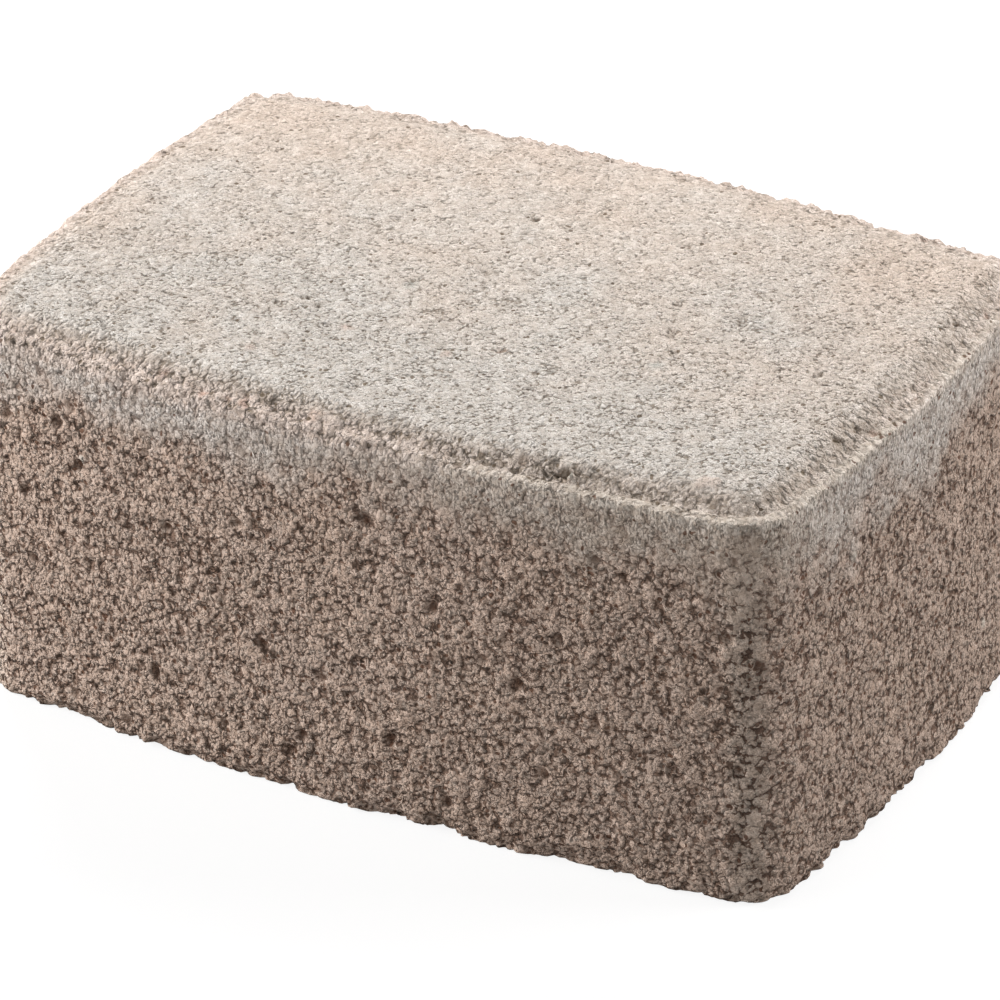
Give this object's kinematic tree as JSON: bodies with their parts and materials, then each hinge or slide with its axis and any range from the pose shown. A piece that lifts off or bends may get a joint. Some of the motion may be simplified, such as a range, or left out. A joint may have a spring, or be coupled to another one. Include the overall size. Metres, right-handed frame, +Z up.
{
  "type": "concrete paver",
  "caption": "Solid concrete paver with bowed walls, rounded corners and a flat wear face whose rolled edge ends in a thin moulding lip, for laying on a sand bed.",
  "frame": {"origin": "middle of the bed, the flat face that the block rests on", "axes": "+X along the length, +Y across the width, +Z up from the bed to the wear face"},
  "size_m": [0.173, 0.115, 0.08],
  "materials": {
    "concrete": "as-moulded dry-cast concrete, open sandy grain, pinkish grey-buff"
  },
  "bodies": {
    "root": {"paver": "concrete"}
  },
  "joints": []
}
